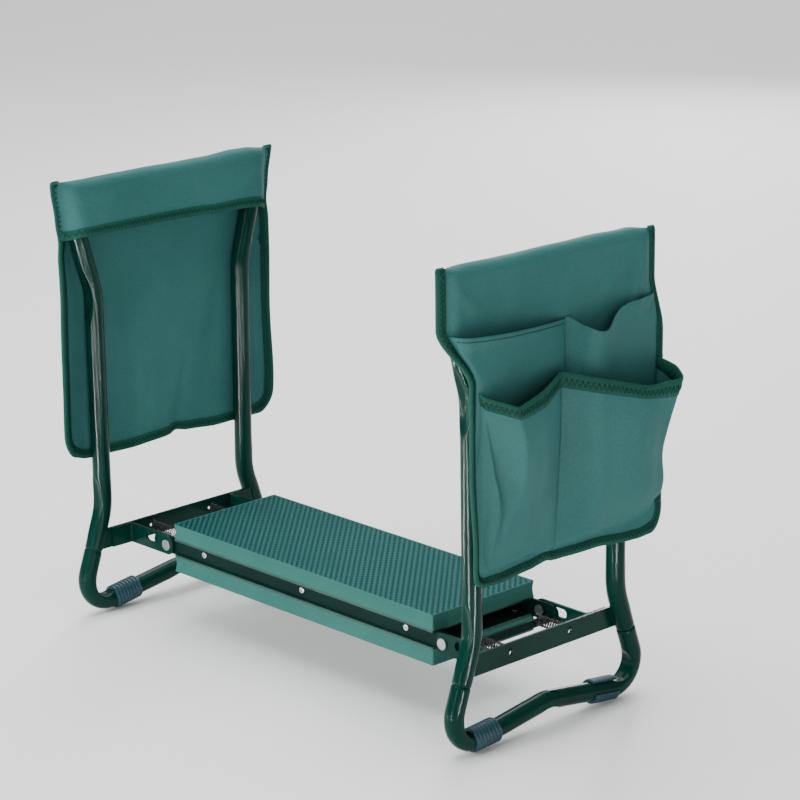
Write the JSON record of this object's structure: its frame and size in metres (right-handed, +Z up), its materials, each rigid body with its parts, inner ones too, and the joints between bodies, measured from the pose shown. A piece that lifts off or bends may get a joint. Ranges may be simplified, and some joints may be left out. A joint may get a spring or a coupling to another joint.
{
  "type": "garden kneeler seat",
  "caption": "Folding garden kneeler and seat: foam-padded bench between two hourglass tube leg frames, each carrying a pocketed tool bag.",
  "frame": {"origin": "on the floor, under the middle of the bench", "axes": "+X along the bench, -Y the front, +Z up; the kneeling pad faces up"},
  "size_m": [0.674, 0.3, 0.49],
  "materials": {
    "green_steel": "glossy dark green powder coat",
    "foam": "matte closed-cell foam with a fine tread",
    "board_plastic": "satin dark green plastic sheet",
    "bright_metal": "zinc plated",
    "spring_steel": "dark oiled spring wire",
    "sleeve_plastic": "satin moulded soft plastic",
    "bag_fabric": "coated woven polyester",
    "binding_tape": "woven edging tape"
  },
  "bodies": {
    "seat": {"kneeling_pad": "foam", "seat_pad": "foam", "kneeling_board": "board_plastic", "seat_board": "board_plastic", "kneeling_board_rivets": "bright_metal", "seat_board_rivets": "bright_metal", "rail_screws": "bright_metal", "left_cross_tie": "green_steel", "middle_cross_tie": "green_steel", "right_cross_tie": "green_steel", "front_rail": "green_steel", "back_rail": "green_steel", "left_spring_bar": "green_steel", "right_spring_bar": "green_steel", "left_front_spring": "spring_steel", "left_back_spring": "spring_steel", "right_front_spring": "spring_steel", "right_back_spring": "spring_steel"},
    "left_pivot": {"left_pivot_rivets": "bright_metal"},
    "left_leg": {"left_handle_tube": "green_steel", "left_foot_tube": "green_steel", "left_cross_plate": "green_steel", "left_bag_panel": "bag_fabric", "left_bag_binding": "binding_tape", "left_bag_hood": "bag_fabric", "left_front_hinge_arm": "green_steel", "left_front_foot_sleeve": "sleeve_plastic", "left_front_upper_pocket": "bag_fabric", "left_front_lower_pocket": "bag_fabric", "left_back_hinge_arm": "green_steel", "left_back_foot_sleeve": "sleeve_plastic", "left_back_upper_pocket": "bag_fabric", "left_back_lower_pocket": "bag_fabric"},
    "right_pivot": {"right_pivot_rivets": "bright_metal"},
    "right_leg": {"right_handle_tube": "green_steel", "right_foot_tube": "green_steel", "right_cross_plate": "green_steel", "right_bag_panel": "bag_fabric", "right_bag_binding": "binding_tape", "right_bag_hood": "bag_fabric", "right_front_hinge_arm": "green_steel", "right_front_foot_sleeve": "sleeve_plastic", "right_front_upper_pocket": "bag_fabric", "right_front_lower_pocket": "bag_fabric", "right_back_hinge_arm": "green_steel", "right_back_foot_sleeve": "sleeve_plastic", "right_back_upper_pocket": "bag_fabric", "right_back_lower_pocket": "bag_fabric"}
  },
  "joints": [
    {"name": "left_pull", "type": "slide", "parent": "seat", "child": "left_pivot", "axis": [-1, 0, 0], "range_m": [0, 0.008], "stiffness_N_per_m": 3000, "springref_m": -0.012, "deforming": ["left_front_spring", "left_back_spring"]},
    {"name": "left_fold", "type": "hinge", "parent": "left_pivot", "child": "left_leg", "pos_m": [-0.215, 0, 0.0865], "axis": [0, 1, 0], "range_deg": [0, 90], "deforming": ["left_front_spring", "left_back_spring"]},
    {"name": "right_pull", "type": "slide", "parent": "seat", "child": "right_pivot", "axis": [1, 0, 0], "range_m": [0, 0.008], "stiffness_N_per_m": 3000, "springref_m": -0.012, "deforming": ["right_front_spring", "right_back_spring"]},
    {"name": "right_fold", "type": "hinge", "parent": "right_pivot", "child": "right_leg", "pos_m": [0.215, 0, 0.0865], "axis": [0, -1, 0], "range_deg": [0, 55], "deforming": ["right_front_spring", "right_back_spring"]}
  ]
}
